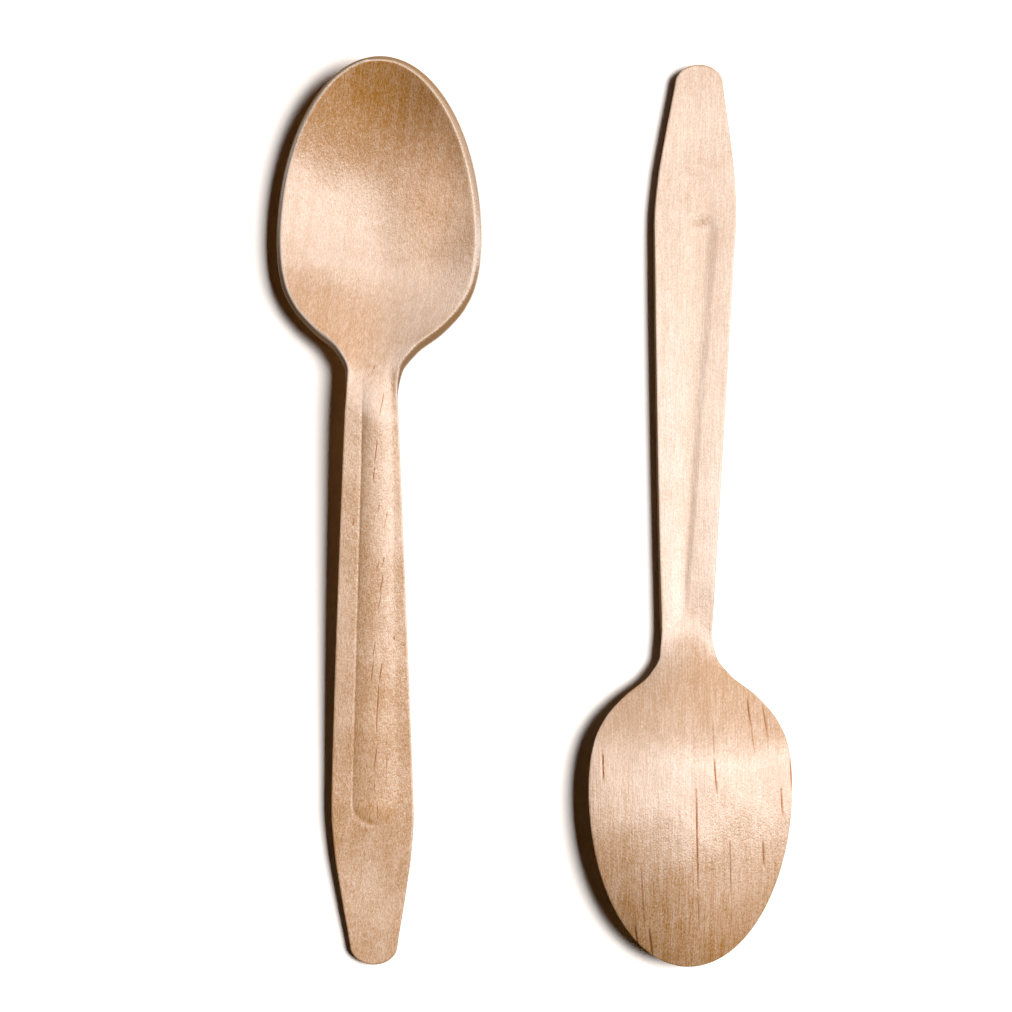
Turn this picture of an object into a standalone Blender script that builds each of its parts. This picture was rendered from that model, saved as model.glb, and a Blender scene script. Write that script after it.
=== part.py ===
"""Two pressed wooden spoons lying side by side, one face up and one face down.

Each spoon is a single sheet of thin wood, cut to the spoon's outline and pressed
into a bowl, with a raised rib along the handle. Lengths are in millimetres and are
turned into metres when the meshes are made. X is to the right, Y is towards the tip
of the spoon that lies face up, and Z is up, with Z = 0 on the table.
"""
import math

import bpy
from mathutils import Matrix, Vector

MM = 0.001

# Outline of the flat sheet, before it is pressed
SPOON_LENGTH = 165.0
HANDLE_LENGTH = 104.0
BOWL_WIDTH = 36.5
BOWL_TIP = 33.0
NECK_WIDTH = 9.3
GRIP_WIDTH = 15.0
GRIP_AT = 28.0
END_RADIUS = 5.0
END_WIDTH = 9.0
MID_OFFSET = -0.62
NECK_OFFSET = -0.95

# The pressed form
SHEET = 2.0
BOWL_DEPTH = 6.2
BOWL_DEEPEST = 129.0
BOWL_FROM = 100.0
SIDE_POWER = 1.95
TIP_POWER = 2.9
BOWL_TWIST = 5.3
HANDLE_CROWN = 0.33
FLAT_END = 23.0

# The rib on the face of the handle and the groove behind it
RIB_HEIGHT = 0.78
RIB_START = 26.0
RIB_HALF_WIDE = 4.1
RIB_HALF_NARROW = 2.6
RIB_NARROW_AT = 98.0
RIB_FADE_FROM = 102.0
RIB_FADE_TO = 112.0
GROOVE_DEPTH = 0.47
GROOVE_MIDDLE = -0.7
GROOVE_START = 27.0
GROOVE_HALF_WIDE = 3.3
GROOVE_HALF_NARROW = 0.8

# How far each bowl is set back behind the line of its handle, measured at the tip, and
# how much the bend shortens it: no two sheets spring back quite alike
FACE_UP_SETBACK = 1.9
FACE_UP_SHORTENING = 0.2
FACE_DOWN_SETBACK = 2.6
FACE_DOWN_SHORTENING = 1.1

# Where the end of each handle lies on the table, and which way its tip points
FACE_UP_END = (-24.66, -83.6)
FACE_UP_HEADING = 89.51
FACE_DOWN_END = (34.85, 80.9)
FACE_DOWN_HEADING = 269.23

# How finely the meshes are cut
ROWS = 84
COLUMNS_IN = 3
COLUMNS_OUT = 4


def ease(low, high, x):
    """Goes smoothly from 0 at low to 1 at high."""
    t = min(max((x - low) / (high - low), 0.0), 1.0)
    return t * t * (3.0 - 2.0 * t)


def curve(points, x):
    """Height at x of the smooth curve through the points, without overshoot."""
    if x <= points[0][0]:
        return points[0][1]
    if x >= points[-1][0]:
        return points[-1][1]
    slopes = curve_slopes(points)
    for (x0, y0), (x1, y1), m0, m1 in zip(points, points[1:], slopes, slopes[1:]):
        if x <= x1:
            h = x1 - x0
            t = (x - x0) / h
            return (y0 * (1 + 2 * t) * (1 - t) ** 2 + h * m0 * t * (1 - t) ** 2
                    + y1 * t * t * (3 - 2 * t) + h * m1 * t * t * (t - 1))
    return points[-1][1]


def curve_slopes(points):
    """Slope at each point: the harmonic mean of its two chords, 0 where they turn."""
    chords = [(b[1] - a[1]) / (b[0] - a[0]) for a, b in zip(points, points[1:])]
    slopes = [chords[0]]
    for a, b in zip(chords, chords[1:]):
        slopes.append(0.0 if a * b <= 0.0 else 2.0 * a * b / (a + b))
    slopes.append(0.0)
    return slopes


def outline_points():
    """Half width of the spoon at the places where its outline turns."""
    neck = HANDLE_LENGTH
    shoulder = SPOON_LENGTH - BOWL_TIP - neck
    half_neck = NECK_WIDTH / 2.0
    half_grip = GRIP_WIDTH / 2.0
    rise = BOWL_WIDTH / 2.0 - half_neck
    return [
        (END_RADIUS * 0.72, END_WIDTH / 2.0 - 0.15),
        (GRIP_AT * 0.5, half_grip * 0.81),
        (GRIP_AT * 0.75, half_grip * 0.94),
        (GRIP_AT, half_grip),
        (GRIP_AT + 8.0, half_grip * 0.97),
        (neck - 2.0, half_neck * 1.02),
        (neck, half_neck),
        (neck + shoulder * 0.15, half_neck + rise * 0.02),
        (neck + shoulder * 0.29, half_neck + rise * 0.19),
        (neck + shoulder * 0.43, half_neck + rise * 0.54),
        (neck + shoulder * 0.57, half_neck + rise * 0.79),
        (neck + shoulder * 0.71, half_neck + rise * 0.925),
        (neck + shoulder * 0.86, half_neck + rise * 0.984),
        (neck + shoulder, half_neck + rise),
    ]


def half_width(u):
    """Half the width of the sheet, u along it from the end of the handle."""
    bowl_middle = SPOON_LENGTH - BOWL_TIP
    if u >= bowl_middle:
        x = min((u - bowl_middle) / BOWL_TIP, 1.0)
        return BOWL_WIDTH / 2.0 * math.sqrt(1.0 - x * x)
    points = outline_points()
    if u < points[0][0]:
        reach = points[0][0]
        nose = math.sqrt(1.0 - ((reach - u) / reach) ** 2)
        return points[0][1] * nose
    return curve(points, u)


def middle(u):
    """Side shift of the outline's middle line from the middle of the press tool."""
    neck = HANDLE_LENGTH
    return curve([(0.0, 0.0), (neck * 0.48, MID_OFFSET), (neck, NECK_OFFSET),
                  (neck + 12.0, 0.0), (SPOON_LENGTH, 0.0)], u)


def rib_half_width(u):
    """Half the width of the rib, wide by the grip and narrow by the neck."""
    t = (u - RIB_START) / (RIB_NARROW_AT - RIB_START)
    t = min(max(t, 0.0), 1.0)
    return RIB_HALF_WIDE + (RIB_HALF_NARROW - RIB_HALF_WIDE) * t


def rim_line(u, setback):
    """Height of the rim along the spoon: level on the handle, set back by the bowl."""
    start = HANDLE_LENGTH - 1.0
    x = (u - start) / (SPOON_LENGTH - start)
    if x <= 0.0:
        return 0.0
    soft = 0.12
    eased = (x - soft * (1.0 - math.exp(-x / soft))) / (1.0 - soft)
    return -setback * eased * (2.5 - 1.5 * eased)


def bowl_profile(u):
    """Depth of the bowl's middle line, from 0 at the neck and the tip to 1."""
    if u <= BOWL_DEEPEST:
        x = min(max((u - BOWL_FROM) / (BOWL_DEEPEST - BOWL_FROM), 0.0), 1.0)
        return math.sin(0.5 * math.pi * x) ** 2
    x = min((u - BOWL_DEEPEST) / (SPOON_LENGTH - BOWL_DEEPEST), 1.0)
    return 1.0 - x ** TIP_POWER


def pressed(u, v, setback):
    """Height of the middle of the sheet at u along and v across, without the rib."""
    width = max(half_width(u), 0.4)
    side = min(abs(v - middle(u)) / width, 1.0)
    height = rim_line(u, setback)
    height -= BOWL_DEPTH * bowl_profile(u) * (1.0 - side ** SIDE_POWER)
    crown = ease(FLAT_END, FLAT_END + 15.0, u) * (1.0 - ease(BOWL_FROM, BOWL_FROM + 12.0, u))
    height -= HANDLE_CROWN * crown * side * side
    twist = math.tan(math.radians(BOWL_TWIST)) * ease(HANDLE_LENGTH - 14.0, BOWL_DEEPEST - 8.0, u)
    return height + v * twist


def rib(u, v):
    """Height of the rib above the face: a low arch with a crease at its foot."""
    wide = rib_half_width(u)
    along = max(RIB_START + wide - u, 0.0) / wide
    across = v / wide
    inside = 1.0 - across * across - along * along
    if inside <= 0.0:
        return 0.0
    fade = 1.0 - ease(RIB_FADE_FROM, RIB_FADE_TO, u)
    return RIB_HEIGHT * inside * fade


def groove(u, v):
    """Depth of the soft groove in the back, widest by the grip."""
    t = min(max((u - GROOVE_START) / (RIB_NARROW_AT + 6.0 - GROOVE_START), 0.0), 1.0)
    wide = GROOVE_HALF_WIDE + (GROOVE_HALF_NARROW - GROOVE_HALF_WIDE) * t
    along = max(GROOVE_START + 2.5 - u, 0.0) / 2.5
    across = (v - GROOVE_MIDDLE) / wide
    inside = 1.0 - across * across - along * along
    if inside <= 0.0:
        return 0.0
    return GROOVE_DEPTH * inside * inside * (1.0 - ease(RIB_NARROW_AT - 4.0, RIB_NARROW_AT + 6.0, u))


def rim_rows():
    """Places along the spoon, spaced evenly along the curved rim."""
    steps = 4000
    lengths = [0.0]
    before = (0.0, 0.0)
    for k in range(1, steps + 1):
        u = SPOON_LENGTH * 0.5 * (1.0 - math.cos(math.pi * k / steps))
        here = (u, half_width(u))
        lengths.append(lengths[-1] + math.dist(before, here))
        before = here
    rows = []
    k = 0
    for i in range(ROWS + 1):
        goal = lengths[-1] * i / ROWS
        while k < steps and lengths[k] < goal:
            k += 1
        rows.append(SPOON_LENGTH * 0.5 * (1.0 - math.cos(math.pi * k / steps)))
    rows[0] = 0.0
    rows[-1] = SPOON_LENGTH
    return rows


def spine_of(u):
    """Place on the middle line where the mesh line that meets the rim at u starts."""
    near = END_RADIUS * 2.4
    bowl_middle = SPOON_LENGTH - BOWL_TIP
    if u < near:
        return END_RADIUS + u * (near - END_RADIUS) / near
    if u > bowl_middle:
        return bowl_middle + (u - bowl_middle) * 0.58
    return u


def column_shares(u, reach):
    """Shares of the way from the middle line to the rim, one of them on the crease."""
    on_crease = min(rib_half_width(u) / max(reach, 0.1), 0.62)
    crease = on_crease + (0.42 - on_crease) * ease(HANDLE_LENGTH - 2.0, HANDLE_LENGTH + 14.0, u)
    shares = [crease * k / COLUMNS_IN for k in range(COLUMNS_IN + 1)]
    shares += [crease + (1.0 - crease) * k / COLUMNS_OUT for k in range(1, COLUMNS_OUT + 1)]
    return shares


def plan_grid():
    """Rows of (u, v) over the sheet, each from the left rim to the right rim."""
    grid = []
    for u in rim_rows():
        foot = spine_of(u)
        left = middle(u) - half_width(u)
        right = middle(u) + half_width(u)
        row = []
        for share in reversed(column_shares(u, abs(left))[1:]):
            row.append((foot + (u - foot) * share, left * share))
        row.append((foot, 0.0))
        for share in column_shares(u, abs(right))[1:]:
            row.append((foot + (u - foot) * share, right * share))
        grid.append(row)
    return grid


def normal_at(u, v, setback):
    """Direction square to the sheet, towards its face."""
    step = 0.05
    u = min(max(u, step), SPOON_LENGTH - 0.25)
    reach = half_width(u) - step
    v = min(max(v, middle(u) - reach), middle(u) + reach)
    rise_u = (pressed(u + step, v, setback) - pressed(u - step, v, setback)) / (2 * step)
    rise_v = (pressed(u, v + step, setback) - pressed(u, v - step, setback)) / (2 * step)
    return Vector((-rise_v, -rise_u, 1.0)).normalized()


def sheet_layers(setback, shortening):
    """The face and the back of the sheet as two grids of points, in millimetres."""
    face = []
    back = []
    for row in plan_grid():
        face_row = []
        back_row = []
        for u, v in row:
            bowl_share = max(u - HANDLE_LENGTH, 0.0) / (SPOON_LENGTH - HANDLE_LENGTH)
            base = Vector((v, u - shortening * bowl_share, pressed(u, v, setback)))
            out = normal_at(u, v, setback)
            face_row.append(base + out * (SHEET / 2.0 + rib(u, v)))
            back_row.append(base - out * (SHEET / 2.0 - groove(u, v)))
        face.append(face_row)
        back.append(back_row)
    return face, back


def spoon_mesh(name, setback, shortening):
    """One closed mesh: the face, the back and the cut edge between them."""
    layers = sheet_layers(setback, shortening)
    half = COLUMNS_IN + COLUMNS_OUT
    last = ROWS
    points = []
    index = {}
    for side, layer in enumerate(layers):
        for i, row in enumerate(layer):
            for j, point in enumerate(row):
                if i in (0, last) and j < half:
                    continue
                index[side, i, j] = len(points)
                points.append(point)

    def at(side, i, j):
        if i in (0, last) and j < half:
            j = 2 * half - j
        return index[side, i, j]

    faces = []
    for i in range(last):
        for j in range(2 * half):
            quad = [(i, j), (i, j + 1), (i + 1, j + 1), (i + 1, j)]
            faces.append([at(0, a, b) for a, b in quad])
            faces.append([at(1, a, b) for a, b in reversed(quad)])
        faces.append([at(1, i, 0), at(0, i, 0), at(0, i + 1, 0), at(1, i + 1, 0)])
        faces.append([at(0, i, 2 * half), at(1, i, 2 * half),
                      at(1, i + 1, 2 * half), at(0, i + 1, 2 * half)])
    mesh = bpy.data.meshes.new(name)
    mesh.from_pydata(points, [], faces)
    return mesh


def rest_pose(mesh, face_down):
    """Turn that lays the spoon down with its handle's end and its bowl on the table."""
    turn = Matrix.Rotation(math.pi, 4, "Y") if face_down else Matrix.Identity(4)
    points = [turn @ vertex.co for vertex in mesh.vertices]
    pitch = 0.0
    for _ in range(12):
        tilt = Matrix.Rotation(pitch, 4, "X")
        turned = [tilt @ point for point in points]
        low_end = min((p for p in turned if p.y < 0.45 * SPOON_LENGTH), key=lambda p: p.z)
        low_bowl = min((p for p in turned if p.y >= 0.45 * SPOON_LENGTH), key=lambda p: p.z)
        pitch -= math.atan2(low_bowl.z - low_end.z, low_bowl.y - low_end.y)
    tilt = Matrix.Rotation(pitch, 4, "X")
    lowest = min((tilt @ point).z for point in points)
    return Matrix.Translation((0.0, 0.0, -lowest)) @ tilt @ turn


def wood(name):
    """Bare light wood."""
    material = bpy.data.materials.new(name)
    material.use_nodes = True
    shader = material.node_tree.nodes["Principled BSDF"]
    shader.inputs["Base Color"].default_value = (0.68, 0.46, 0.29, 1.0)
    shader.inputs["Roughness"].default_value = 0.55
    shader.inputs["Metallic"].default_value = 0.0
    return material


def make_spoon(name, setback, shortening, end, heading, face_down):
    """One spoon with its end at the given place, its tip pointing along the heading."""
    mesh = spoon_mesh(name, setback, shortening)
    pose = rest_pose(mesh, face_down)
    aim = Matrix.Rotation(math.radians(heading - 90.0), 4, "Z")
    place = Matrix.Translation((end[0], end[1], 0.0))
    mesh.transform(Matrix.Scale(MM, 4) @ place @ aim @ pose)
    mesh.materials.append(wood(name + "_wood"))
    spoon = bpy.data.objects.new(name, mesh)
    bpy.context.scene.collection.objects.link(spoon)
    return spoon


def centre_on_origin(spoons):
    """Moves the pair so that the middle of its footprint is at the origin."""
    corners = [v.co for spoon in spoons for v in spoon.data.vertices]
    shift_x = -(min(c.x for c in corners) + max(c.x for c in corners)) / 2.0
    shift_y = -(min(c.y for c in corners) + max(c.y for c in corners)) / 2.0
    for spoon in spoons:
        spoon.data.transform(Matrix.Translation((shift_x, shift_y, 0.0)))


def main():
    for thing in list(bpy.data.objects):
        bpy.data.objects.remove(thing, do_unlink=True)
    up = make_spoon("spoon_face_up", FACE_UP_SETBACK, FACE_UP_SHORTENING, FACE_UP_END,
                    FACE_UP_HEADING, False)
    down = make_spoon("spoon_face_down", FACE_DOWN_SETBACK, FACE_DOWN_SHORTENING,
                      FACE_DOWN_END, FACE_DOWN_HEADING, True)
    centre_on_origin([up, down])


main()
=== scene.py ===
"""The looks of two pressed wooden spoons, one face up and one face down.

Each spoon is first built flat, as a sheet cut to the spoon's outline, and is then
pressed: every point moves to its place on the formed sheet. Lengths are in
millimetres until the finished mesh is scaled to metres. In a spoon's own frame, u runs
along it from the end of its handle, v runs across it, and t runs through the sheet.
"""

import math

import bmesh
import bpy
import numpy as np
from mathutils import Matrix, Vector


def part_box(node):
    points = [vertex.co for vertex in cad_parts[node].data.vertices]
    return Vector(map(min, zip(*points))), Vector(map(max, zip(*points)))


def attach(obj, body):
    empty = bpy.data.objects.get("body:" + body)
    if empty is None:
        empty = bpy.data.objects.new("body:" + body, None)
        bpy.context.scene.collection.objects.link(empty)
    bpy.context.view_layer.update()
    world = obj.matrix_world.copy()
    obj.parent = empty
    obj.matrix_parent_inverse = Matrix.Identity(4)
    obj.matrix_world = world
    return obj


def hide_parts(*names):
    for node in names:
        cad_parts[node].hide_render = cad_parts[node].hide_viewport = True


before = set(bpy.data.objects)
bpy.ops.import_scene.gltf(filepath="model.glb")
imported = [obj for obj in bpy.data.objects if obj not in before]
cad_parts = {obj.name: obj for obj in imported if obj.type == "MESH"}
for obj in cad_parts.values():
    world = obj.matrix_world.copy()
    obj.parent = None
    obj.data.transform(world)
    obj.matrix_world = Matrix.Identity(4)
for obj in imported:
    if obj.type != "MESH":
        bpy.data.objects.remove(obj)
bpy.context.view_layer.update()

MM = 0.001

# Outline of the flat sheet
SPOON_LENGTH = 165.0
HANDLE_LENGTH = 104.0
BOWL_WIDTH = 36.5
BOWL_TIP = 33.0
NECK_WIDTH = 9.3
GRIP_WIDTH = 15.0
GRIP_AT = 28.0
END_RADIUS = 5.0
END_WIDTH = 9.0
MID_OFFSET = -0.62
MID_OFFSET_AT = 0.48
NECK_OFFSET = -0.95
OFFSET_RUN = 12.0
LEAST_HALF_WIDTH = 0.4

# Where the rounded end meets the sides: share of its radius, and how much narrower in mm
NOSE_REACH = 0.72
NOSE_INSET = 0.15

# How the outline widens to the grip: share of the way along, and of its half width
GRIP_RISE = [(0.5, 0.81), (0.75, 0.94), (1.0, 1.0)]

# The taper past the grip and before the neck: distance in mm, and share of the half width
GRIP_TAPER = (8.0, 0.97)
NECK_TAPER = (2.0, 1.02)

# How the outline widens from the neck to the bowl: share of the way along, of the rise
SHOULDER = [(0.15, 0.02), (0.29, 0.19), (0.43, 0.54), (0.57, 0.79), (0.71, 0.925),
            (0.86, 0.984), (1.0, 1.0)]

# The pressed form
SHEET = 2.0
BOWL_DEPTH = 6.2
BOWL_DEEPEST = 129.0
BOWL_FROM = 100.0
SIDE_POWER = 1.95
TIP_POWER = 2.9
BOWL_TWIST = 5.3
HANDLE_CROWN = 0.33
FLAT_END = 23.0
CROWN_RISE = 15.0
CROWN_FALL = 12.0
TWIST_FROM = HANDLE_LENGTH - 14.0
TWIST_TO = BOWL_DEEPEST - 8.0
SETBACK_FROM = HANDLE_LENGTH - 1.0
SETBACK_SOFT = 0.12
SETBACK_LEAD = 1.5

# The rib on the face of the handle, which may be lower by the grip than by the neck
RIB_HEIGHT = 0.78
RIB_START = 26.0
RIB_HALF_WIDE = 4.1
RIB_HALF_NARROW = 2.6
RIB_NARROW_AT = 98.0
RIB_FADE_FROM = 98.0
RIB_FADE_TO = 114.0
RIB_LOW_TO = 32.0
RIB_FULL_FROM = 95.0

# The rib's left foot has a pressed crease, and its right foot runs out softly
CREASE_DEPTH = 0.09
CREASE_HALF = 0.20
CREASE_FADE = (RIB_FADE_FROM - 4.0, RIB_FADE_FROM + 6.0)
SOFT_FOOT = 0.13
SOFT_SIDE = (-0.3, 0.5)

# The groove in the back runs slantwise, and its left side is the gentler one
GROOVE_DEPTH = 0.55
GROOVE_AT_START = 1.7
GROOVE_AT_NECK = -2.1
GROOVE_START = 26.6
GROOVE_RAMP = 4.2
GROOVE_LEFT = 1.8
GROOVE_HALF_WIDE = 2.7
GROOVE_HALF_NARROW = 1.15
GROOVE_END = (RIB_NARROW_AT - 4.0, RIB_NARROW_AT + 6.0)

# The cut edge: its corners are rounded off in steps at these angles, and its flat part
# between them has points at these shares of the half thickness
EDGE_ROUND = 0.32
EDGE_ANGLES = (30.0, 60.0, 90.0)
EDGE_FLATS = (0.25, -0.25)

# Fine splits where the pressed sheet has opened along its fibres, as measured on the
# photographed spoons: both ends (along, across), half width, depth, and how strongly the split
# colour, with its painted shade, is laid on
FACE_DOWN_SPLITS = [
    ((131.7, 0.4), (150.4, 1.0), 0.23, 0.50, 1.0),
    ((150.4, 1.0), (158.1, 1.5), 0.15, 0.15, 0.6),
    ((126.2, 3.5), (132.8, 4.1), 0.21, 0.40, 1.0),
    ((119.9, 3.4), (126.2, 3.5), 0.20, 0.10, 0.5),
    ((115.9, 9.7), (120.9, 10.3), 0.24, 0.40, 1.0),
    ((120.9, 10.3), (125.1, 10.8), 0.20, 0.12, 0.6),
    ((117.0, 12.5), (122.8, 13.4), 0.21, 0.30, 0.9),
    ((126.3, 17.7), (132.9, 18.05), 0.25, 0.35, 1.0),
    ((132.0, 15.9), (137.7, 16.3), 0.23, 0.35, 1.0),
    ((141.8, 12.6), (146.8, 12.9), 0.25, 0.35, 1.0),
    ((141.5, 6.5), (151.5, 6.9), 0.20, 0.15, 0.75),
    ((125.5, -15.8), (131.2, -15.6), 0.22, 0.35, 1.0),
    ((145.5, -8.95), (157.3, -8.0), 0.22, 0.12, 0.65),
    ((157.1, -9.7), (161.3, -8.95), 0.26, 0.20, 1.0),
    ((157.5, -7.2), (163.2, -6.35), 0.24, 0.15, 0.9),
]
FACE_UP_SPLITS = [
    ((109.3, -0.3), (108.0, -0.8), 0.14, 0.12, 0.80),
    ((107.8, -1.4), (106.9, -1.8), 0.14, 0.12, 0.80),
    ((104.6, 1.4), (100.3, 0.45), 0.13, 0.15, 0.80),
    ((95.8, 0.1), (91.3, -0.45), 0.15, 0.15, 0.90),
    ((90.8, -0.35), (88.2, -0.7), 0.14, 0.15, 0.85),
    ((84.3, 0.6), (82.5, 0.1), 0.13, 0.10, 0.60),
    ((82.6, 1.9), (79.8, 1.3), 0.14, 0.10, 0.60),
    ((74.6, 1.45), (72.8, 1.0), 0.13, 0.12, 0.75),
    ((73.6, 0.5), (71.9, 0.0), 0.16, 0.12, 0.85),
    ((71.4, 1.25), (67.9, 0.65), 0.16, 0.12, 0.90),
    ((67.6, 0.87), (64.7, 0.25), 0.13, 0.12, 0.75),
    ((59.3, -0.05), (56.5, -0.55), 0.14, 0.12, 0.75),
    ((55.6, -0.4), (51.9, -0.8), 0.16, 0.12, 0.85),
    ((55.4, 1.2), (51.8, 0.6), 0.18, 0.15, 0.90),
    ((51.8, 0.6), (43.0, 0.15), 0.17, 0.15, 0.85),
    ((40.4, 0.4), (35.3, -0.3), 0.16, 0.15, 0.90),
    ((38.4, 2.2), (35.3, 1.95), 0.13, 0.10, 0.60),
    ((33.7, 0.0), (31.8, -0.2), 0.15, 0.12, 0.80),
    ((30.1, 0.45), (26.8, 0.45), 0.12, 0.10, 0.55),
    ((80.9, -4.15), (80.4, -4.2), 0.20, 0.20, 1.00),
    ((60.1, 3.3), (59.7, 3.25), 0.20, 0.20, 1.00),
    ((117.9, -9.8), (117.4, -9.6), 0.16, 0.15, 0.80),
    ((125.5, -12.7), (125.2, -12.75), 0.18, 0.15, 0.90),
]
SPLIT_LIP = 0.06
SPLIT_DEPTH = 0.75
SPLIT_REACH = 1.2
SPLIT_SLACK = 1e-3
CUT_SLACK = 1e-4
ON_FACE = 0.9

# How finely the meshes are cut, and how the mesh lines fan out at both ends
ROWS = 400
COLUMNS_IN = 22
COLUMNS_OUT = 26
RIM_SAMPLES = 20001
FAN_END = END_RADIUS * 2.4
FAN_TIP = 0.58
CREASE_SHARE_MOST = 0.62
CREASE_SHARE_BOWL = 0.42
CREASE_SHARE_RUN = (HANDLE_LENGTH - 2.0, HANDLE_LENGTH + 14.0)

# Steps that bring both ends of the spoon to the table: the handle's end is this share of
# the spoon's length, and the bowl is beyond it
LEVEL_STEPS = 12
HANDLE_END_SHARE = 0.45

# Camera: straight above the table, its picture square
CAMERA_AT = (-5.289, 1.341, 477.0)
CAMERA_ANGLE = 22.03

# Lights: direction as azimuth and elevation, size across and up, strength as the
# brightness that the light alone gives a white card lying on the table
KEY = {"azimuth": 4.0, "elevation": 58.0, "distance": 2.0, "size": (0.80, 0.70), "card": 0.82}
TOP = {"azimuth": 90.0, "elevation": 44.5, "distance": 2.0, "size": (2.0, 2.0), "card": 0.50}

# The weak sky, and the floor as the spoons see it and as the camera sees it
SKY = (0.006, 0.0025, 0.0002)
FLOOR_BOUNCE = (0.46, 0.30, 0.12)
FLOOR_WHITE = (1.65, 1.55, 1.47)
FLOOR_REACH = 3.0

# Wood. Its colour runs from deep to pale with the tone, from 0 to 1, and the whiteness the
# tone adds is partly the wood's own and partly painted sheen.
# The fibres give it a silky gloss that is broad across them and narrow along them
DEEP = (0.484, 0.189, 0.004)
PALE = (0.99, 0.700, 0.52)
# Colour laid into a split: the reddish wood inside it, darkened with painted shade of the
# narrow opening
SPLIT = (0.47, 0.15, 0.01)
GLOSS_ROUGHNESS = 0.58
GLOSS_STRETCH = 0.937
UV_PER_MM = 0.005

# The cut edge has painted shade at low v, the side turned away from the key light, and painted
# light at high v, and is striped by the layers of the wood. It fades in between two distances
# from the rim and two heights in the sheet
EDGE_PAINTED_SHADE = (0.36, 0.24, 0.18)
EDGE_DEEP = (0.38, 0.21, 0.10)
EDGE_PAINTED_LIGHT = (0.60, 0.34, 0.17)
EDGE_STRIPES = 0.5
EDGE_REACH = (0.8, 0.3)
EDGE_DEPTH = (0.98, 0.75)
# Across the sheet, where the painted shade of the low-v side turns into the painted light of
# the high-v side
LIT_SIDE_V = (-6.0, 14.0)

# A painted highlight runs along the bowl's rim at high v, the side lit by the key light,
# broken into pieces
PAINTED_RIM_HIGHLIGHT = (0.84, 0.56, 0.32)
RIM_HIGHLIGHT_REACH = (0.7, 0.1)
RIM_HIGHLIGHT_BREAKS = (0.25, 0.6)
RIM_HIGHLIGHT_RUN = (HANDLE_LENGTH, HANDLE_LENGTH + 12.0)

# Grain of the wood: spots per mm along, across and through it, detail, and seed. For
# the fine and the broad grain each spoon has its own spots, and the broad one turns less
GRAIN_ROUGHNESS = 0.55
SEED_STEP = (1.0, 1.7, 0.6)
FINE_THROUGH = 1.0
FINE = (1.0, 3.0)
BROAD = (4.0, 5.0)
BROAD_TURN = 0.8
DOTS = ((3.0, 5.6, 1.0), 1.0, 11.0)
MOTTLE = ((0.25, 0.40, 0.2), 3.0, 7.0)
CLOUD = ((0.07, 0.11, 0.1), 2.0, 9.0)
WAVE = ((0.09, 0.13, 0.1), 0.0, 15.0)
LAYERS = ((0.5, 1.2, 6.0), 2.0, 13.0)

# How much each grain changes the tone, and its height in the relief in mm
TONE_OF = {"fine": 0.9, "dots": 0.85, "broad": 0.42, "mottle": 0.30, "cloud": 0.30}
RELIEF_OF = {"fine": 0.045, "dots": 0.03, "mottle": 0.08, "wave": 0.45, "layers": 0.04}

# What differs from one spoon to the other: how far the bowl sets back and foreshortens,
# the share of the rib's height that it has by the grip, the way the spoon points, which
# side is up, the slant of its fibres, and its splits
FACE_UP = {"setback": 1.9, "shortening": 0.2, "rib_by_grip": 0.66, "heading": 89.51,
           "face_down": False, "slant": math.radians(10.0), "splits": FACE_UP_SPLITS}
FACE_DOWN = {"setback": 2.6, "shortening": 1.1, "rib_by_grip": 1.0, "heading": 269.23,
             "face_down": True, "slant": 0.0, "splits": FACE_DOWN_SPLITS}

# Each spoon's wood: tone, fibres and streaks (spots per mm along, across and, for the
# streaks, through it), strength of the fine sparkle and of the painted highlight along the
# rim, gloss, and soft patches of painted sheen, which whiten the colour, and of painted light
# and shade, which lighten or darken it (centre along and across, reach along and across,
# strength)
FACE_UP_WOOD = {
    "tone": 0.25, "fibre": (0.9, 7.0), "spark": 1.2, "streak": (0.04, 0.7, 0.3), "lip": 0.7,
    "ior": 2.25,
    "painted_sheen": [((10.0, 0.0), (26.0, 12.0), 0.32), ((96.0, -0.5), (18.0, 6.0), 0.12),
              ((60.0, -6.0), (45.0, 3.5), 0.21), ((130.0, -10.0), (14.0, 12.0), -0.15),
              ((123.0, 6.0), (12.0, 9.0), -0.15), ((157.0, 0.0), (22.0, 26.0), -0.08),
              ((136.0, -8.0), (8.0, 10.0), 0.12), ((133.0, 14.0), (9.0, 6.0), 0.08),
              ((44.0, -1.0), (22.0, 7.0), 0.08)],
    "painted_shading": [((125.0, -14.0), (34.0, 20.0), -0.10), ((139.0, 12.0), (22.0, 12.0), 0.36),
               ((115.0, 6.0), (14.0, 9.0), -0.12), ((28.5, 0.0), (4.0, 6.0), 0.15),
               ((48.0, 1.0), (20.0, 6.0), 0.06)],
}
FACE_DOWN_WOOD = {
    "tone": 0.28, "fibre": (0.22, 6.0), "spark": 1.5, "streak": (0.015, 0.9, 0.3), "lip": 0.2,
    "ior": 2.40,
    "painted_sheen": [((70.0, -4.5), (50.0, 4.5), 0.18), ((88.0, 4.0), (28.0, 4.0), 0.26),
              ((33.0, 2.0), (24.0, 5.0), -0.20), ((96.0, -3.0), (16.0, 3.0), 0.25),
              ((131.0, 15.0), (8.0, 9.0), -0.20), ((149.0, 9.0), (20.0, 14.0), 0.26),
              ((147.0, -3.0), (22.0, 14.0), 0.14), ((125.0, 4.0), (6.0, 15.0), 0.12),
              ((122.0, -12.0), (10.0, 9.0), -0.15), ((134.0, 2.0), (7.0, 7.0), -0.10),
              ((114.0, 0.0), (9.0, 18.0), -0.10)],
    "painted_shading": [((135.0, -17.0), (30.0, 14.0), 0.29)],
}


def ease(low, high, x):
    """Goes smoothly from 0 at low to 1 at high."""
    t = np.clip((x - low) / (high - low), 0.0, 1.0)
    return t * t * (3.0 - 2.0 * t)


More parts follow.
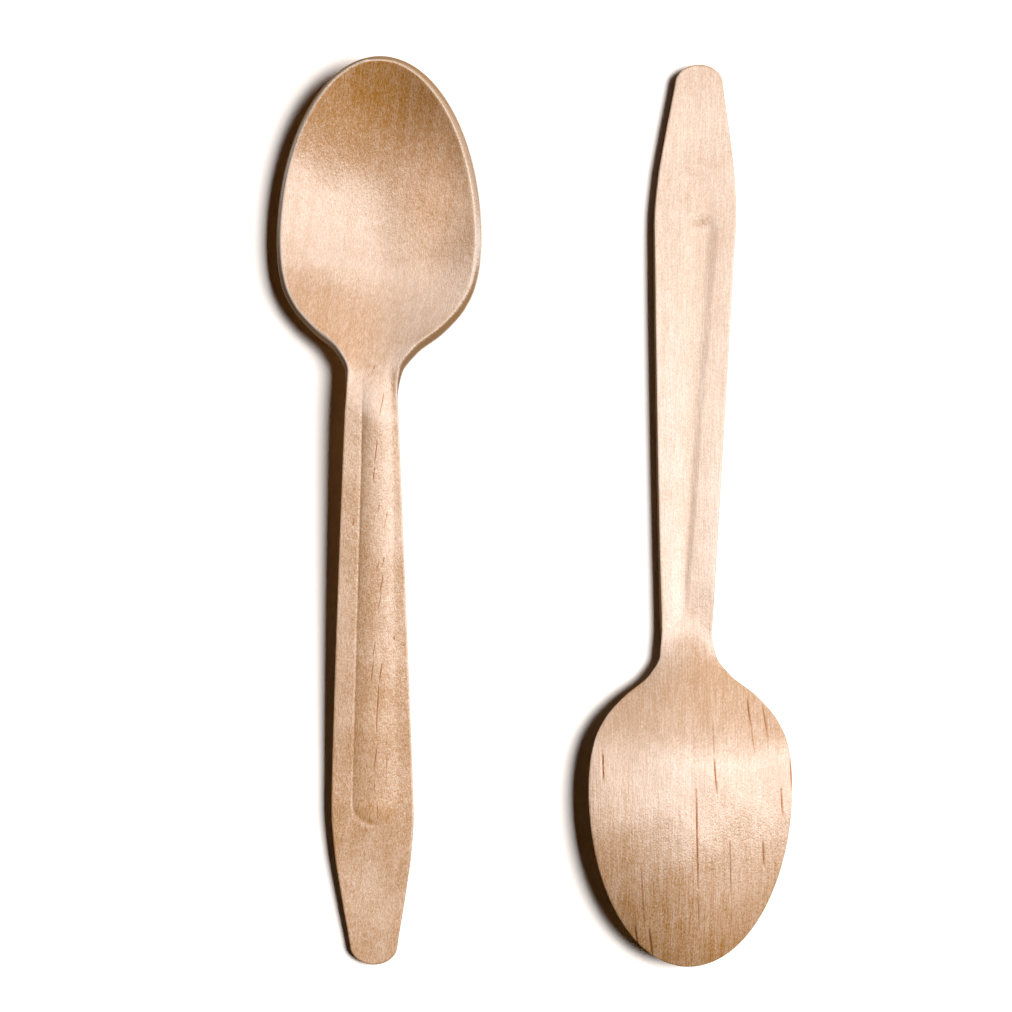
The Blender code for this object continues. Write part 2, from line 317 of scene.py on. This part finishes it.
def curve(points, x):
    """Height at x of the smooth curve through the points, without overshoot."""
    px, py = np.array(points, float).T
    chords = np.diff(py) / np.diff(px)
    slopes = np.zeros(len(px))
    slopes[0] = chords[0]
    for k in range(1, len(chords)):
        a, b = chords[k - 1], chords[k]
        if a * b > 0.0:
            slopes[k] = 2.0 * a * b / (a + b)
    x = np.clip(x, px[0], px[-1])
    k = np.clip(np.searchsorted(px, x) - 1, 0, len(chords) - 1)
    h = px[k + 1] - px[k]
    t = (x - px[k]) / h
    return (py[k] * (1 + 2 * t) * (1 - t) ** 2 + h * slopes[k] * t * (1 - t) ** 2
            + py[k + 1] * t * t * (3 - 2 * t) + h * slopes[k + 1] * t * t * (t - 1))


def outline_points():
    """Half width of the spoon at the places where its outline turns."""
    neck = HANDLE_LENGTH
    shoulder = SPOON_LENGTH - BOWL_TIP - neck
    half_neck = NECK_WIDTH / 2.0
    half_grip = GRIP_WIDTH / 2.0
    rise = BOWL_WIDTH / 2.0 - half_neck
    return [
        (END_RADIUS * NOSE_REACH, END_WIDTH / 2.0 - NOSE_INSET),
        *[(GRIP_AT * along, half_grip * out) for along, out in GRIP_RISE],
        (GRIP_AT + GRIP_TAPER[0], half_grip * GRIP_TAPER[1]),
        (neck - NECK_TAPER[0], half_neck * NECK_TAPER[1]),
        (neck, half_neck),
        *[(neck + shoulder * along, half_neck + rise * out) for along, out in SHOULDER],
    ]


def half_width(u):
    """Half the width of the sheet, u along it from the end of the handle."""
    points = outline_points()
    bowl_middle = SPOON_LENGTH - BOWL_TIP
    reach = points[0][0]
    nose = np.clip((reach - u) / reach, 0.0, 1.0)
    tip = np.clip((u - bowl_middle) / BOWL_TIP, 0.0, 1.0)
    return curve(points, u) * np.sqrt(1.0 - nose ** 2) * np.sqrt(1.0 - tip ** 2)


def middle(u):
    """Side shift of the outline's middle line from the middle of the press tool."""
    neck = HANDLE_LENGTH
    return curve([(0.0, 0.0), (neck * MID_OFFSET_AT, MID_OFFSET), (neck, NECK_OFFSET),
                  (neck + OFFSET_RUN, 0.0), (SPOON_LENGTH, 0.0)], u)


def from_rim(u, v):
    """Roughly how far a place on the sheet is from its rim."""
    margin, step = 0.05, 0.02
    u = np.clip(u, margin, SPOON_LENGTH - margin)
    slope = (half_width(u + step) - half_width(u - step)) / (2 * step)
    return (half_width(u) - np.abs(v - middle(u))) / np.hypot(1.0, slope)


def rib_half_width(u):
    """Half the width of the rib, wide by the grip and narrow by the neck."""
    t = np.clip((u - RIB_START) / (RIB_NARROW_AT - RIB_START), 0.0, 1.0)
    return RIB_HALF_WIDE + (RIB_HALF_NARROW - RIB_HALF_WIDE) * t


def rim_line(u, setback):
    """Height of the rim along the spoon: level on the handle, set back by the bowl."""
    x = np.clip((u - SETBACK_FROM) / (SPOON_LENGTH - SETBACK_FROM), 0.0, None)
    soft = SETBACK_SOFT
    eased = (x - soft * (1.0 - np.exp(-x / soft))) / (1.0 - soft)
    return -setback * eased * (1.0 + SETBACK_LEAD - SETBACK_LEAD * eased)


def bowl_profile(u):
    """Depth of the bowl's middle line, from 0 at the neck and the tip to 1."""
    near = np.clip((u - BOWL_FROM) / (BOWL_DEEPEST - BOWL_FROM), 0.0, 1.0)
    far = np.clip((u - BOWL_DEEPEST) / (SPOON_LENGTH - BOWL_DEEPEST), 0.0, 1.0)
    return np.sin(0.5 * math.pi * near) ** 2 - far ** TIP_POWER


def pressed(u, v, setback):
    """Height of the middle of the sheet at u along and v across, without the rib."""
    width = np.maximum(half_width(u), LEAST_HALF_WIDTH)
    side = np.clip(np.abs(v - middle(u)) / width, 0.0, 1.0)
    height = rim_line(u, setback)
    height = height - BOWL_DEPTH * bowl_profile(u) * (1.0 - side ** SIDE_POWER)
    crown = ease(FLAT_END, FLAT_END + CROWN_RISE, u)
    crown = crown * (1.0 - ease(BOWL_FROM, BOWL_FROM + CROWN_FALL, u))
    height = height - HANDLE_CROWN * crown * side * side
    turn = ease(TWIST_FROM, TWIST_TO, u)
    return height + v * math.tan(math.radians(BOWL_TWIST)) * turn


def rib(u, v, grip_share):
    """Height of the rib above the face: a low arch with a crease at its left foot.

    By the grip, the arch has only grip_share of its height.
    """
    wide = rib_half_width(u)
    along = np.maximum(RIB_START + wide - u, 0.0) / wide
    out = np.hypot(v / wide, along)
    inside = 1.0 - out * out
    right = ease(*SOFT_SIDE, v / wide)
    soft = SOFT_FOOT * np.logaddexp(0.0, np.clip(inside / SOFT_FOOT, -60.0, 60.0))
    rise = ease(RIB_LOW_TO, RIB_FULL_FROM, u)
    height = RIB_HEIGHT * (grip_share + (1.0 - grip_share) * rise)
    arch = height * (np.maximum(inside, 0.0) * (1.0 - right) + soft * right)
    crease = CREASE_DEPTH * np.exp(-((out - 1.0) * wide / CREASE_HALF) ** 2) * (1.0 - right)
    crease = crease * (1.0 - ease(*CREASE_FADE, u))
    return (arch - crease) * (1.0 - ease(RIB_FADE_FROM, RIB_FADE_TO, u))


def groove(u, v):
    """Depth of the soft groove in the back, widest by the grip."""
    t = np.clip((u - GROOVE_START) / (GROOVE_END[1] - GROOVE_START), 0.0, 1.0)
    wide = GROOVE_HALF_WIDE + (GROOVE_HALF_NARROW - GROOVE_HALF_WIDE) * t
    centre = GROOVE_AT_START + (GROOVE_AT_NECK - GROOVE_AT_START) * t
    along = np.maximum(GROOVE_START + GROOVE_RAMP - u, 0.0) / GROOVE_RAMP
    wide = np.where(v < centre, wide * GROOVE_LEFT, wide)
    inside = np.maximum(1.0 - ((v - centre) / wide) ** 2 - along * along, 0.0)
    fade = 1.0 - ease(*GROOVE_END, u)
    return GROOVE_DEPTH * inside * inside * fade


def rim_rows():
    """Places along the spoon, spaced evenly along the curved rim."""
    u = SPOON_LENGTH * 0.5 * (1.0 - np.cos(np.linspace(0.0, math.pi, RIM_SAMPLES)))
    steps = np.hypot(np.diff(u), np.diff(half_width(u)))
    lengths = np.concatenate([[0.0], np.cumsum(steps)])
    return np.interp(np.linspace(0.0, lengths[-1], ROWS + 1), lengths, u)


def spine_of(u):
    """Place on the middle line where the mesh line that meets the rim at u starts."""
    bowl_middle = SPOON_LENGTH - BOWL_TIP
    by_end = END_RADIUS + u * (FAN_END - END_RADIUS) / FAN_END
    by_tip = bowl_middle + (u - bowl_middle) * FAN_TIP
    return np.where(u < FAN_END, by_end, np.where(u > bowl_middle, by_tip, u))


def column_shares(u, reach):
    """Shares of the way from the middle line to the rim, one of them on the crease."""
    on_crease = np.minimum(rib_half_width(u) / np.maximum(reach, 0.1), CREASE_SHARE_MOST)
    bowl_share = ease(*CREASE_SHARE_RUN, u)
    crease = (on_crease + (CREASE_SHARE_BOWL - on_crease) * bowl_share)[:, None]
    inner = crease * np.arange(COLUMNS_IN + 1) / COLUMNS_IN
    outer = crease + (1.0 - crease) * np.arange(1, COLUMNS_OUT + 1) / COLUMNS_OUT
    return np.concatenate([inner, outer], axis=1)


def edge_profile():
    """Points round the cut edge from the face to the back: how far out, how high."""
    corner = [math.radians(a) for a in EDGE_ANGLES]
    half = SHEET / 2.0
    top = [(EDGE_ROUND * math.sin(a), half - EDGE_ROUND * (1.0 - math.cos(a))) for a in corner]
    flat = [(EDGE_ROUND, half * share) for share in EDGE_FLATS]
    return top + flat + [(out, -height) for out, height in reversed(top)]


def flat_half(rows, rim, outward):
    """Points from the middle line to one rim, and round its cut edge."""
    inset = rim - outward * EDGE_ROUND
    shares = column_shares(rows, np.abs(rim[:, 1]))[:, :, None]
    foot = np.stack([spine_of(rows), np.zeros_like(rows)], axis=1)[:, None, :]
    plan = foot + (inset[:, None, :] - foot) * shares
    edge = [np.column_stack([inset + outward * out, np.full(len(rows), height)])
            for out, height in edge_profile()]
    return plan, np.stack(edge, axis=1)


def with_height(plan, height):
    """The plan's points, all at one height in the sheet."""
    return np.concatenate([plan, np.full(plan.shape[:2] + (1,), height)], axis=2)


def flat_sheet():
    """Rings of points round the flat sheet as (u, v, t), and each point's ring index."""
    rows = rim_rows()
    right = np.column_stack([rows, middle(rows) + half_width(rows)])
    left = np.column_stack([rows, middle(rows) - half_width(rows)])
    loop = np.concatenate([right, left[-2:0:-1]])
    along = np.roll(loop, -1, axis=0) - np.roll(loop, 1, axis=0)
    along /= np.linalg.norm(along, axis=1)[:, None]
    out = np.column_stack([-along[:, 1], along[:, 0]])
    out_right = out[:ROWS + 1]
    out_left = np.concatenate([out[:1], out[:ROWS - 1:-1]])
    plan_r, edge_r = flat_half(rows, right, out_right)
    plan_l, edge_l = flat_half(rows, left, out_left)
    face_l = with_height(plan_l[:, :0:-1], SHEET / 2.0)
    face_r = with_height(plan_r, SHEET / 2.0)
    back_r = with_height(plan_r[:, ::-1], -SHEET / 2.0)
    back_l = with_height(plan_l[:, 1:], -SHEET / 2.0)
    return np.concatenate([face_l, face_r, edge_r, back_r, back_l, edge_l[:, ::-1]], axis=1)


def ring_faces(count):
    """Quads between the rings. The first and last ring are folded on the middle line."""
    half = COLUMNS_IN + COLUMNS_OUT
    index = np.arange((ROWS + 1) * count).reshape(ROWS + 1, count)
    mirror = (2 * half - np.arange(count)) % count
    for row in (0, ROWS):
        keep = np.minimum(index[row], index[row][mirror])
        index[row] = keep
    after = np.roll(index, -1, axis=1)
    quads = np.stack([index[:-1], after[:-1], after[1:], index[1:]], axis=2)
    return quads.reshape(-1, 4)


def normals_at(u, v, setback):
    """Directions square to the sheet, towards its face."""
    step, tip_margin = 0.05, 0.25
    u = np.clip(u, step, SPOON_LENGTH - tip_margin)
    reach = half_width(u) - step
    v = np.clip(v, middle(u) - reach, middle(u) + reach)
    rise_u = (pressed(u + step, v, setback) - pressed(u - step, v, setback)) / (2 * step)
    rise_v = (pressed(u, v + step, setback) - pressed(u, v - step, setback)) / (2 * step)
    out = np.column_stack([-rise_v, -rise_u, np.ones_like(u)])
    return out / np.linalg.norm(out, axis=1)[:, None]


def press(flat, setback, shortening, grip_share):
    """Moves the flat sheet's points to their places on the formed sheet."""
    u, v, t = flat.T
    bowl_share = np.maximum(u - HANDLE_LENGTH, 0.0) / (SPOON_LENGTH - HANDLE_LENGTH)
    base = np.column_stack([v, u - shortening * bowl_share, pressed(u, v, setback)])
    face_share = np.clip(t / (SHEET / 2.0), 0.0, 1.0)
    back_share = np.clip(-t / (SHEET / 2.0), 0.0, 1.0)
    offset = t + rib(u, v, grip_share) * face_share + groove(u, v) * back_share
    return base + normals_at(u, v, setback) * offset[:, None]


def turn_about(axis, angle):
    """Turning matrix that acts on rows of points from the right."""
    return np.array(Matrix.Rotation(angle, 3, axis)).T


def lay_down(points, face_down):
    """Lays the spoon with its handle's end and its bowl on the table."""
    if face_down:
        points = points @ turn_about("Y", math.pi)
    by_end = points[:, 1] < HANDLE_END_SHARE * SPOON_LENGTH
    pitch = 0.0
    for _ in range(LEVEL_STEPS):
        turned = points @ turn_about("X", pitch)
        end = turned[by_end][np.argmin(turned[by_end][:, 2])]
        bowl = turned[~by_end][np.argmin(turned[~by_end][:, 2])]
        pitch -= math.atan2(bowl[2] - end[2], bowl[1] - end[1])
    return points @ turn_about("X", pitch)


def onto_node(points, heading, node):
    """Turns the spoon to its heading and puts its box on the box of its CAD node."""
    points = points @ turn_about("Z", math.radians(heading - 90.0))
    low, high = (np.array(corner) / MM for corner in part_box(node))
    centre = (points.min(axis=0) + points.max(axis=0)) / 2.0
    shift = (low + high) / 2.0 - centre
    shift[2] = low[2] - points[:, 2].min()
    return points + shift


def flat_mesh(name):
    """The flat sheet as a closed mesh."""
    rings = flat_sheet()
    quads = ring_faces(rings.shape[1])
    used, renumbered = np.unique(quads, return_inverse=True)
    mesh = bpy.data.meshes.new(name)
    mesh.from_pydata(rings.reshape(-1, 3)[used].tolist(), [],
                     renumbered.reshape(quads.shape).tolist())
    return mesh


def open_split(sheet, mark, side, start, end, half, depth, dark):
    """Opens one fine split in the flat sheet, on its face (side 1) or its back (-1)."""
    start, end = Vector((*start, 0.0)), Vector((*end, 0.0))
    length = (end - start).length
    ahead = (end - start) / length
    across = Vector((-ahead.y, ahead.x, 0.0))
    centre = (start + end) / 2.0
    near = [f for f in sheet.faces
            if side * f.verts[0].co.z > ON_FACE * SHEET / 2.0
            and abs((f.verts[0].co - centre).dot(across)) < half + SPLIT_REACH
            and abs((f.verts[0].co - centre).dot(ahead)) < length / 2.0 + SPLIT_REACH]
    geometry = near + list({e for f in near for e in f.edges}) \
        + list({v for f in near for v in f.verts})
    lip = half + SPLIT_LIP
    for shift in (-lip, -half, 0.0, half, lip):
        geometry = bmesh.ops.bisect_plane(sheet, geom=geometry, dist=CUT_SLACK,
                                          plane_co=start + across * shift,
                                          plane_no=across)["geom"]
    for vert in {v for v in geometry if isinstance(v, bmesh.types.BMVert)}:
        offset = vert.co - start
        share = offset.dot(ahead) / length
        beside = offset.dot(across)
        if not 0.0 < share < 1.0 or abs(beside) > half + SPLIT_SLACK:
            continue
        opened = math.sqrt(math.sin(math.pi * share))
        sunk = opened * max(1.0 - abs(beside) / half, 0.0)
        vert.co.z -= side * depth * SPLIT_DEPTH * sunk
        vert[mark] = dark * sunk


def spoon_piece(name, node, spoon, material):
    """One finished spoon in place of its CAD node."""
    mesh = flat_mesh(name)
    sheet = bmesh.new()
    sheet.from_mesh(mesh)
    mark = sheet.verts.layers.float.new("split")
    for split in spoon["splits"]:
        open_split(sheet, mark, -1.0 if spoon["face_down"] else 1.0, *split)
    sheet.to_mesh(mesh)
    sheet.free()
    flat = np.empty(len(mesh.vertices) * 3, np.float32)
    mesh.vertices.foreach_get("co", flat)
    flat = flat.reshape(-1, 3).astype(float)
    points = press(flat, spoon["setback"], spoon["shortening"], spoon["rib_by_grip"])
    points = lay_down(points, spoon["face_down"])
    points = onto_node(points, spoon["heading"], node) * MM
    mesh.vertices.foreach_set("co", points.astype(np.float32).ravel())
    place = mesh.attributes.new("place", "FLOAT_VECTOR", "POINT")
    place.data.foreach_set("vector", flat.astype(np.float32).ravel())
    rim = mesh.attributes.new("rim", "FLOAT", "POINT")
    rim.data.foreach_set("value", from_rim(flat[:, 0], flat[:, 1]).astype(np.float32))
    across_along = mesh.uv_layers.new(name="across_along")
    corners = np.empty(len(mesh.loops), np.int32)
    mesh.loops.foreach_get("vertex_index", corners)
    slant = spoon["slant"]
    across = flat[:, 1] * math.cos(slant) - flat[:, 0] * math.sin(slant)
    along = flat[:, 1] * math.sin(slant) + flat[:, 0] * math.cos(slant)
    uv = np.column_stack([across, along])[corners] * UV_PER_MM
    across_along.data.foreach_set("uv", uv.ravel())
    mesh.shade_smooth()
    mesh.materials.append(material)
    piece = bpy.data.objects.new(name, mesh)
    bpy.context.scene.collection.objects.link(piece)
    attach(piece, "root")
    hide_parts(node)
    return piece


def add(tree, kind, inputs=(), **settings):
    """A new node; its inputs, by name or number, are linked or set."""
    node = tree.nodes.new("ShaderNode" + kind)
    for name, value in settings.items():
        setattr(node, name, value)
    for key, value in dict(inputs).items():
        if isinstance(value, bpy.types.NodeSocket):
            tree.links.new(value, node.inputs[key])
        else:
            node.inputs[key].default_value = value
    return node


def calc(tree, operation, a, b=0.0, c=0.0):
    """The outcome of one sum on numbers or sockets."""
    return add(tree, "Math", {0: a, 1: b, 2: c}, operation=operation).outputs[0]


def smooth(tree, low, high, value):
    """Goes smoothly from 0 at low to 1 at high."""
    return add(tree, "MapRange", {"Value": value, "From Min": low, "From Max": high},
               interpolation_type="SMOOTHSTEP").outputs[0]


def blend(tree, share, first, second):
    """Goes from the first colour to the second as the share goes from 0 to 1."""
    node = add(tree, "Mix", data_type="RGBA")
    for value, place in ((share, 0), (first, 6), (second, 7)):
        if isinstance(value, bpy.types.NodeSocket):
            tree.links.new(value, node.inputs[place])
        else:
            node.inputs[place].default_value = (*value, 1.0)
    return node.outputs[2]


def grain(tree, place, slant, scale, detail, seed):
    """Noise from 0 to 1 drawn out along the fibres; scale is in spots per mm."""
    turned = add(tree, "VectorRotate", {"Vector": place, "Angle": -slant},
                 rotation_type="Z_AXIS").outputs[0]
    shift = tuple(seed * step for step in SEED_STEP)
    spread = add(tree, "VectorMath", {0: turned, 1: scale, 2: shift},
                 operation="MULTIPLY_ADD").outputs[0]
    return add(tree, "TexNoise", {"Vector": spread, "Scale": 1.0, "Detail": detail,
                                  "Roughness": GRAIN_ROUGHNESS},
               noise_dimensions="3D").outputs["Fac"]


def patch(tree, place, centre, reach, power):
    """A soft oval spot through the sheet: power at its centre, none beyond its reach."""
    any_depth = 1e6
    offset = add(tree, "VectorMath", {0: place, 1: (*centre, 0.0)},
                 operation="SUBTRACT").outputs[0]
    share = add(tree, "VectorMath", {0: offset, 1: (*reach, any_depth)},
                operation="DIVIDE").outputs[0]
    far = add(tree, "VectorMath", {0: share}, operation="LENGTH").outputs["Value"]
    return calc(tree, "MULTIPLY", smooth(tree, 1.0, 0.0, far), power)


def wood(name, slant, tone, fibre, spark, streak, lip, ior, painted_sheen, painted_shading):
    """Bare light wood: fine fibres, soft mottling and a silky gloss, with painted sheen and
    painted light and shade in soft patches, a painted highlight along the rim's lit side, and
    painted shade on the cut edge's other side and in the splits.
    """
    material = bpy.data.materials.new(name)
    material.use_nodes = True
    tree = material.node_tree
    shader = tree.nodes["Principled BSDF"]
    place = add(tree, "Attribute", attribute_name="place").outputs["Vector"]
    grains = {
        "fine": grain(tree, place, slant, (*fibre, FINE_THROUGH), *FINE),
        "dots": grain(tree, place, slant, *DOTS),
        "broad": grain(tree, place, slant * BROAD_TURN, streak, *BROAD),
        "mottle": grain(tree, place, slant, *MOTTLE),
        "cloud": grain(tree, place, slant, *CLOUD),
        "wave": grain(tree, place, slant, *WAVE),
        "layers": grain(tree, place, 0.0, *LAYERS),
    }
    dots, layers = grains["dots"], grains["layers"]
    level = tone
    for source, power in TONE_OF.items():
        swing = calc(tree, "SUBTRACT", grains[source], 0.5)
        power = power * spark if source == "dots" else power
        level = calc(tree, "MULTIPLY_ADD", swing, power, level)
    # Soft patches of painted sheen make the colour whiter or less white
    for centre, reach, power in painted_sheen:
        level = calc(tree, "ADD", level, patch(tree, place, centre, reach, power))
    shade = 1.0
    # Soft patches of painted light and shade make the colour lighter or darker
    for centre, reach, power in painted_shading:
        shade = calc(tree, "ADD", shade, patch(tree, place, centre, reach, power))
    colour = add(tree, "VectorMath", {0: blend(tree, level, DEEP, PALE), "Scale": shade},
                 operation="SCALE").outputs[0]
    rim = add(tree, "Attribute", attribute_name="rim").outputs["Fac"]
    parts = add(tree, "SeparateXYZ", {0: place}).outputs
    lit_side = smooth(tree, *LIT_SIDE_V, parts[1])
    on_rim_highlight = calc(tree, "MULTIPLY", smooth(tree, *RIM_HIGHLIGHT_REACH, rim),
                  smooth(tree, *RIM_HIGHLIGHT_BREAKS, dots))
    on_rim_highlight = calc(tree, "MULTIPLY", on_rim_highlight, lit_side)
    on_rim_highlight = calc(tree, "MULTIPLY", on_rim_highlight, smooth(tree, *RIM_HIGHLIGHT_RUN, parts[0]))
    # Painted highlight along the rim on its lit side, at high v
    colour = blend(tree, calc(tree, "MULTIPLY", on_rim_highlight, lip), colour, PAINTED_RIM_HIGHLIGHT)
    split = add(tree, "Attribute", attribute_name="split").outputs["Fac"]
    on_edge = smooth(tree, *EDGE_DEPTH, calc(tree, "ABSOLUTE", parts[2]))
    on_edge = calc(tree, "MULTIPLY", on_edge, smooth(tree, *EDGE_REACH, rim))
    edge = blend(tree, calc(tree, "MULTIPLY", layers, EDGE_STRIPES), EDGE_DEEP, EDGE_PAINTED_LIGHT)
    # Painted shade on the cut edge at low v, away from the key light, and painted light at
    # high v
    edge = blend(tree, lit_side, blend(tree, layers, EDGE_PAINTED_SHADE, EDGE_DEEP), edge)
    colour = blend(tree, on_edge, colour, edge)
    # Split colour: reddish wood with painted shade of the opening
    colour = blend(tree, split, colour, SPLIT)
    tree.links.new(colour, shader.inputs["Base Color"])
    relief = 0.0
    for source, height in RELIEF_OF.items():
        height = height * spark if source == "dots" else height
        relief = calc(tree, "MULTIPLY_ADD", grains[source], height, relief)
    bump = add(tree, "Bump", {"Strength": 1.0, "Distance": MM, "Height": relief})
    tree.links.new(bump.outputs[0], shader.inputs["Normal"])
    tangent = add(tree, "Tangent", direction_type="UV_MAP", uv_map="across_along")
    tree.links.new(tangent.outputs[0], shader.inputs["Tangent"])
    dull = calc(tree, "MULTIPLY_ADD", split, 1.0 - GLOSS_ROUGHNESS, GLOSS_ROUGHNESS)
    tree.links.new(dull, shader.inputs["Roughness"])
    tree.links.new(split, shader.inputs["Metallic"])
    shader.inputs["Anisotropic"].default_value = GLOSS_STRETCH
    shader.inputs["Specular IOR Level"].default_value = 1.0
    shader.inputs["IOR"].default_value = ior
    return material


def floor_material():
    """White card: overexposed to the camera, plain to every other ray."""
    material = bpy.data.materials.new("floor_card")
    material.use_nodes = True
    tree = material.node_tree
    tree.nodes.clear()
    out = tree.nodes.new("ShaderNodeOutputMaterial")
    path = tree.nodes.new("ShaderNodeLightPath")
    plain = tree.nodes.new("ShaderNodeBsdfDiffuse")
    plain.inputs["Color"].default_value = (*FLOOR_BOUNCE, 1.0)
    bright = tree.nodes.new("ShaderNodeBsdfDiffuse")
    bright.inputs["Color"].default_value = (*FLOOR_WHITE, 1.0)
    mix = tree.nodes.new("ShaderNodeMixShader")
    tree.links.new(path.outputs["Is Camera Ray"], mix.inputs[0])
    tree.links.new(plain.outputs[0], mix.inputs[1])
    tree.links.new(bright.outputs[0], mix.inputs[2])
    tree.links.new(mix.outputs[0], out.inputs["Surface"])
    return material


def add_floor():
    """A wide white card under the spoons."""
    reach = FLOOR_REACH
    mesh = bpy.data.meshes.new("floor")
    mesh.from_pydata([(-reach, -reach, 0.0), (reach, -reach, 0.0), (reach, reach, 0.0),
                      (-reach, reach, 0.0)], [], [(0, 1, 2, 3)])
    mesh.materials.append(floor_material())
    floor = bpy.data.objects.new("floor", mesh)
    bpy.context.scene.collection.objects.link(floor)


def add_light(name, azimuth, elevation, distance, size, card, only_on=None):
    """A soft box that shines from the given direction, on everything or one collection."""
    data = bpy.data.lights.new(name, "AREA")
    data.shape = "RECTANGLE"
    data.size = size[0]
    data.size_y = size[1]
    a = math.radians(azimuth)
    e = math.radians(elevation)
    data.energy = card * math.pi ** 2 * distance ** 2 / math.sin(e)
    light = bpy.data.objects.new(name, data)
    towards = Vector((math.cos(e) * math.cos(a), math.cos(e) * math.sin(a), math.sin(e)))
    light.location = towards * distance
    light.rotation_euler = towards.to_track_quat("Z", "Y").to_euler()
    bpy.context.scene.collection.objects.link(light)
    if only_on:
        light.light_linking.receiver_collection = only_on


def add_sky():
    """Weak even light from all round, and white behind the floor."""
    world = bpy.data.worlds.new("sky")
    world.use_nodes = True
    tree = world.node_tree
    background = tree.nodes["Background"]
    path = tree.nodes.new("ShaderNodeLightPath")
    colour = tree.nodes.new("ShaderNodeMix")
    colour.data_type = "RGBA"
    tree.links.new(path.outputs["Is Camera Ray"], colour.inputs[0])
    colour.inputs[6].default_value = (*SKY, 1.0)
    colour.inputs[7].default_value = (1.0, 1.0, 1.0, 1.0)
    tree.links.new(colour.outputs[2], background.inputs["Color"])
    bpy.context.scene.world = world


def add_camera():
    """The camera, straight above the table."""
    data = bpy.data.cameras.new("camera")
    data.sensor_fit = "HORIZONTAL"
    data.angle = math.radians(CAMERA_ANGLE)
    camera = bpy.data.objects.new("camera", data)
    camera.location = Vector(CAMERA_AT) * MM
    bpy.context.scene.collection.objects.link(camera)
    bpy.context.scene.camera = camera


def main():
    """Sets up the camera, both spoons, the floor and the lights."""
    add_camera()
    spoons = bpy.data.collections.new("spoons")
    bpy.context.scene.collection.children.link(spoons)
    up = spoon_piece("wooden_spoon_face_up", "spoon_face_up", FACE_UP,
                     wood("wood_face_up", FACE_UP["slant"], **FACE_UP_WOOD))
    down = spoon_piece("wooden_spoon_face_down", "spoon_face_down", FACE_DOWN,
                       wood("wood_face_down", FACE_DOWN["slant"], **FACE_DOWN_WOOD))
    for spoon in (up, down):
        spoons.objects.link(spoon)
    add_floor()
    add_light("key", **KEY)
    add_light("top", **TOP, only_on=spoons)
    add_sky()
    bpy.context.scene.view_settings.view_transform = "Standard"


main()
